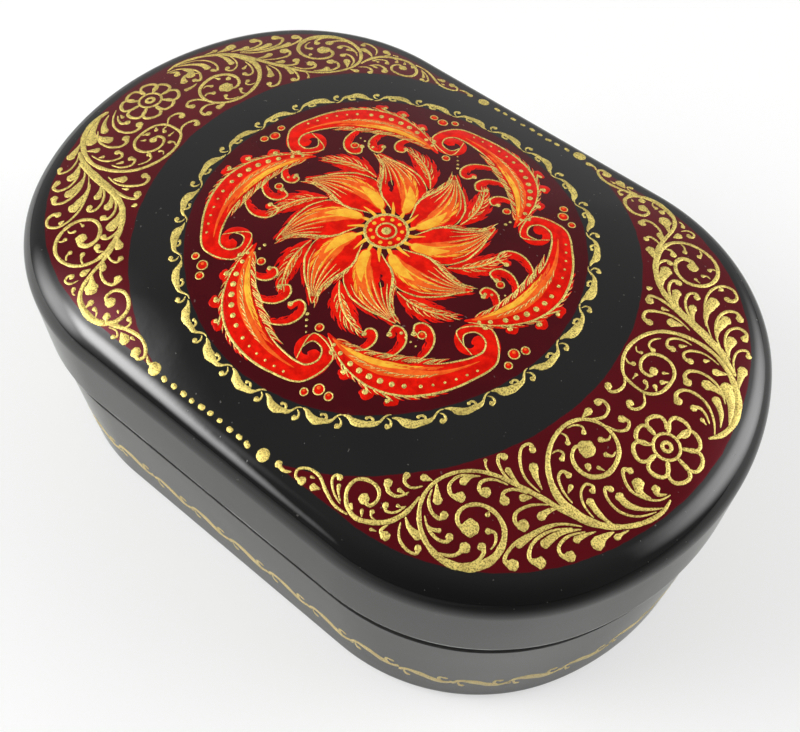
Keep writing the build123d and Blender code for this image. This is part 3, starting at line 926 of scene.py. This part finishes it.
def lid_rings():
    """Rings of the lid from its crown out, down and up to its ceiling, and where its inside starts."""
    rings = dome(DOME_EDGE_INSET, DOME_EDGE, DOME_DROP, 56)
    rings += turn(SHOULDER, SHOULDER_LEVEL, SHOULDER, 75, 0, 20)
    rings += [ring(0, SHOULDER_LEVEL + (LIP - SHOULDER_LEVEL) * f) for f in (.01, .25, .5, .75)]
    rings += [ring(0, LIP + LIP_ROUND + EDGE_GUARD)] + turn(LIP_ROUND, LIP + LIP_ROUND, LIP_ROUND, 0, -90, 6)
    rings += [ring(LIP_ROUND + EDGE_GUARD, LIP), ring(LID_WALL - LIP_ROUND, LIP)]
    inside = len(rings) - 1
    rings += turn(LID_WALL - LIP_ROUND, LIP + LIP_ROUND, LIP_ROUND, -90, -180, 4)
    rings += [ring(LID_WALL, LIP + LIP_ROUND + 1), ring(LID_WALL, CEILING_EDGE - CEILING_ROUND)]
    rings += turn(LID_WALL + CEILING_ROUND, CEILING_EDGE - CEILING_ROUND, CEILING_ROUND, 180, 90, 5)
    rings += dome(LID_WALL + CEILING_ROUND, CEILING_EDGE, DOME_DROP, 24)[::-1]
    return rings, inside


def base_rings():
    """Rings of the base from its floor out, over the rim and down to its underside, and where its inside and
    its rubbed rim end."""
    rings = [ring(COLLAR_OUTER, BOTTOM, f) for f in (.2, .4, .6, .8, .9, .97)]
    rings += [ring(COLLAR_OUTER, z) for z in (BOTTOM, BOTTOM + INNER_GUARD, RIM - CORNER_GUARD)]
    inside = len(rings) - 1
    centre = base_inset(RIM - RIM_ROUND) + RIM_ROUND
    rings += [ring(inset, RIM) for inset in (COLLAR_OUTER, COLLAR_OUTER - CORNER_GUARD, centre + EDGE_GUARD)]
    rings += turn(centre, RIM - RIM_ROUND, RIM_ROUND, 90, 0, 14)
    rings += [ring(base_inset(z), z) for z in (RIM - RIM_ROUND - EDGE_GUARD, RUB_FOOT)]
    rim_end = len(rings) - 1
    rings += [ring(base_inset(z), z) for z in (17, 13, 9, 5, FOOT + EDGE_GUARD)]
    rings += turn(base_inset(FOOT) + FOOT, FOOT, FOOT, 0, -90, 12)
    rings += [ring(base_inset(0) + FOOT, 0, f) for f in (.995, .8, .5, .2)]
    return rings, inside, rim_end


def collar_rings():
    """Rings of the collar, up its inner face and down its outer one."""
    levels = (BOTTOM, BOTTOM + INNER_GUARD, COLLAR_TOP - 2 * COLLAR_ROUND)
    rings = [ring(COLLAR_INNER, z) for z in levels]
    rings += turn(COLLAR_INNER - COLLAR_ROUND, COLLAR_TOP - COLLAR_ROUND, COLLAR_ROUND, 180, 90, 6)
    rings += turn(COLLAR_OUTER + COLLAR_ROUND, COLLAR_TOP - COLLAR_ROUND, COLLAR_ROUND, 90, 0, 6)
    return rings + [ring(COLLAR_OUTER, z) for z in levels[::-1]]


rings, inside = lid_rings()
lid_shell = loft("lid_shell", rings, [lid_black, inner_red], (0, 0, CROWN), (0, 0, CEILING_EDGE + DOME_DROP),
                 range(inside, len(rings)))
inset = lid_shell.data.attributes.new("inset", "FLOAT", "POINT")
places = np.array([v.co for v in lid_shell.data.vertices]) / MM
inset.data.foreach_set("value", inset_of(places[:, 0], places[:, 1]).astype(np.float32))
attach(lid_shell, "lid")
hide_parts("lid_top", "lid_side")

rings, inside, rim_end = base_rings()
base_shell = loft("base_shell", rings, [base_black, inner_red, rim_black], (0, 0, BOTTOM), (0, 0, 0),
                  range(inside), range(inside, rim_end))
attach(base_shell, "base")
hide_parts("base_bottom", "base_side")

collar_sleeve = loft("collar_sleeve", collar_rings(), [inner_red])
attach(collar_sleeve, "base")
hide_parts("collar")

# Paint on the lid and the base
near = Paint("scroll_near", on_lid, PAINT, 11)
scroll(near, LOW_STEMS, LOW_CURLS, LOW_LEAVES, 1)
scroll(near, HIGH_STEMS, HIGH_CURLS, HIGH_LEAVES, 1)
rosette(near, *ROSETTE)
near.dot(7.35, -28.65, .74)
near.dot(7.85, 29.0, .85)
near.build(gold, "lid")

far = Paint("scroll_far", on_lid, PAINT, 12)
scroll(far, LOW_STEMS, LOW_CURLS, LOW_LEAVES, -1)
# The far rosette lies nearer to this stem, which starts one point later there
first_widths, first_head, *first_points = HIGH_STEMS[0]
far_stems = ((first_widths[1:], first_head, *first_points[1:]),) + HIGH_STEMS[1:]
scroll(far, far_stems, HIGH_CURLS, HIGH_LEAVES, -1)
rosette(far, *FAR_ROSETTE)
far.stroke([(-38.5, 7.4), (-39.6, 6.6), (-39.9, 5.6), (-39.1, 4.8)], (.14, .4, .5, .8), .5)
far.stroke([(-37.3, 5.5), (-37.2, 4.5), (-37.4, 3.7)], (.12, .4, .6), .32)
far.dot(-7.35, 28.65, .74)
far.dot(-9.2, -28.6, .75)
far.build(gold, "lid")

rim_border = Paint("ring_border", on_lid, PAINT, 13)
border(rim_border)
rim_border.build(gold, "lid")

dots = Paint("dot_rows", on_lid, PAINT, 14)
for x in DOT_PLACES:
    for way in (1, -1):
        jog = dots.random.uniform(-.12, .12)
        radius, stretch = dots.random.uniform(.24, .31), dots.random.uniform(1.25, 1.6)
        dots.dot(x * way, (-28.7 + jog) * way, radius, stretch, jog * 200)
dots.build(gold, "lid")

base_vine = Paint("side_vine", on_wall, PAINT, 15)
vine(base_vine)
base_vine.build(vine_gold, "base")

medallion()

# Floor: its radius and level in millimetres, and its colour
FLOOR_R, FLOOR_LEVEL, FLOOR_WHITE = 3000, -0.02, (.855, .865, .85)
# Its painted light and shade where the lacquer mirrors it, by distances in metres: NEAR_TONE round the box,
# and beyond that darker, with painted light towards the left lamps and darker still towards the front; and
# the share of it seen as white
NEAR_BOX, NEAR_TONE = (.06, .12), .84
LIT_AZ, LIT_REACH, LIT_TONES = -125, (.05, .10), (.44, .86)
DIM_AZ, DIM_REACH, DIM_TONE = -52, (.05, .16), .4
FLOOR_GLOW, GLOW_REACH = 0.5, (.15, .6)


def paper(name):
    """White paper that keeps the shadow of the box and runs out to plain white far off, with painted light
    and shade where the lacquer mirrors it.
    """
    f = Finish(name)
    radius = f.vector("LENGTH", f.place)["Value"]
    # Painted light towards the left lamps and darker towards the front, in the floor that the lacquer
    # mirrors
    lit = f.remap(f.along(f.place, LIT_AZ), *LIT_REACH, *LIT_TONES)
    dim = f.remap(f.along(f.place, DIM_AZ), *DIM_REACH, 1, DIM_TONE)
    tone = f.times(f.blend(f.remap(radius, *NEAR_BOX), NEAR_TONE, lit), dim)
    fibre = f.remap(f.noise(30, 3), .3, .7, .985, 1)
    painted_light_and_shade = f.mix(f.times(tone, fibre), (0, 0, 0), FLOOR_WHITE)
    rays = f.camera_rays()
    f.set(Base_Color=f.mix(rays, painted_light_and_shade, FLOOR_WHITE), Roughness=.9)
    glow = f.times(rays, f.remap(radius, *GLOW_REACH, FLOOR_GLOW, 1))
    white = f.node("ShaderNodeEmission").outputs[0]
    mixed = f.feed(f.node("ShaderNodeMixShader"), (0, 1, 2), (glow, f.shader.outputs[0], white))
    f.join(mixed.outputs[0], f.tree.nodes["Material Output"].inputs["Surface"])
    return f.material


def floor_disc(count):
    points = [(*polar(FLOOR_R, 360 * k / count), FLOOR_LEVEL) for k in range(count)]
    return make_object("studio_floor", points, [tuple(range(count))], [paper("floor_white")])


floor_disc(96)


# Lamps and camera
def level_axes(back):
    """Right and up of something that looks against a direction and isn't rolled."""
    right = np.cross((0, 0, 1), back)
    right /= np.linalg.norm(right)
    return right, np.cross(back, right)


def aim(name, data, back, roll, place):
    """Add a lamp or camera at a place in metres, looking against a direction, rolled by some degrees."""
    right, up = level_axes(back)
    c, s = polar(1, roll)
    axes = Matrix([[*row] for row in np.c_[right * c + up * s, up * c - right * s, back]]).to_4x4()
    axes.translation = place
    obj = bpy.data.objects.new(name, data)
    bpy.context.scene.collection.objects.link(obj)
    obj.matrix_world = axes
    return obj


# Distance of the lamps, the height that they look at, and how far they fade in from their edges
LAMP_DISTANCE, LAMP_AIM, LAMP_FADE = .6, .02, .44


def softbox(name, azimuth, elevation, wide, tall, roll, radiance):
    """Area lamp with soft edges; its place, width, height and roll in degrees, as the box sees it."""
    lamp = bpy.data.lights.new(name, "AREA")
    lamp.shape = "RECTANGLE"
    lamp.size, lamp.size_y = (2 * LAMP_DISTANCE * math.tan(math.radians(a / 2)) for a in (wide, tall))
    lamp.energy = radiance * math.pi * lamp.size * lamp.size_y
    lamp.use_nodes = True
    n = Nodes(lamp.node_tree)
    spot = n.node("ShaderNodeNewGeometry").outputs["Parametric"]
    split = n.feed(n.node("ShaderNodeSeparateXYZ"), (0,), (spot,)).outputs
    across, down = (n.remap(n.math("PINGPONG", split[axis], .5), 0, LAMP_FADE) for axis in (0, 1))
    n.join(n.times(across, down), n.tree.nodes["Emission"].inputs["Strength"])
    back = direction(azimuth, elevation)
    aim(name, lamp, back, roll, back * LAMP_DISTANCE + np.array([0, 0, LAMP_AIM]))


softbox("softbox_left", -130, 35, 64, 20, -43, 10.9)
softbox("softbox_low_left", -144, 27, 48, 64, 8, 6.5)
softbox("softbox_right", 44, 25, 73, 59, -40, 5.8)

# Sky: its mean level, how much it grows lighter towards an azimuth, and its least level
SKY_LEVEL, SKY_LEAN, SKY_AZ, SKY_LEAST = .34, .21, 128.4, .1


def studio_sky(name):
    """A dim, graded studio for the lacquer to mirror, and plain white for the camera."""
    world = bpy.data.worlds.new(name)
    world.use_nodes = True
    n = Nodes(world.node_tree)
    lean = n.along(n.node("ShaderNodeTexCoord").outputs["Generated"], SKY_AZ, SKY_LEAN)
    level = n.math("MAXIMUM", n.add(lean, SKY_LEVEL), SKY_LEAST)
    strength = n.blend(n.camera_rays(), level, 1)
    n.feed(n.tree.nodes["Background"], ("Color", "Strength"), ((1, 1, 1), strength))
    return world


bpy.context.scene.world = studio_sky("studio")
bpy.context.scene.view_settings.view_transform = "Standard"

# Camera, as found from the outlines in the photo: its angles in degrees, the distance and shifts of its eye
# in millimetres, and its focal length in pixels of the frame's width
CAM_AZ, CAM_EL, CAM_ROLL = 38.392, 56.538, 1.809
CAM_DISTANCE, CAM_RIGHT, CAM_UP = 125.309, 2.055, -15.515
CAM_FOCAL, FRAME_W, SENSOR = 1090.935, 800, 36.0


def photo_camera():
    camera = bpy.data.cameras.new("camera")
    camera.sensor_width = SENSOR
    camera.lens = CAM_FOCAL * SENSOR / FRAME_W
    camera.clip_start, camera.clip_end = .005, 20
    back = direction(CAM_AZ - 90, CAM_EL)
    right, up = level_axes(back)
    eye = back * CAM_DISTANCE + right * CAM_RIGHT + up * CAM_UP + np.array([0, 0, HEIGHT])
    return aim("camera", camera, back, CAM_ROLL, eye * MM)


bpy.context.scene.camera = photo_camera()
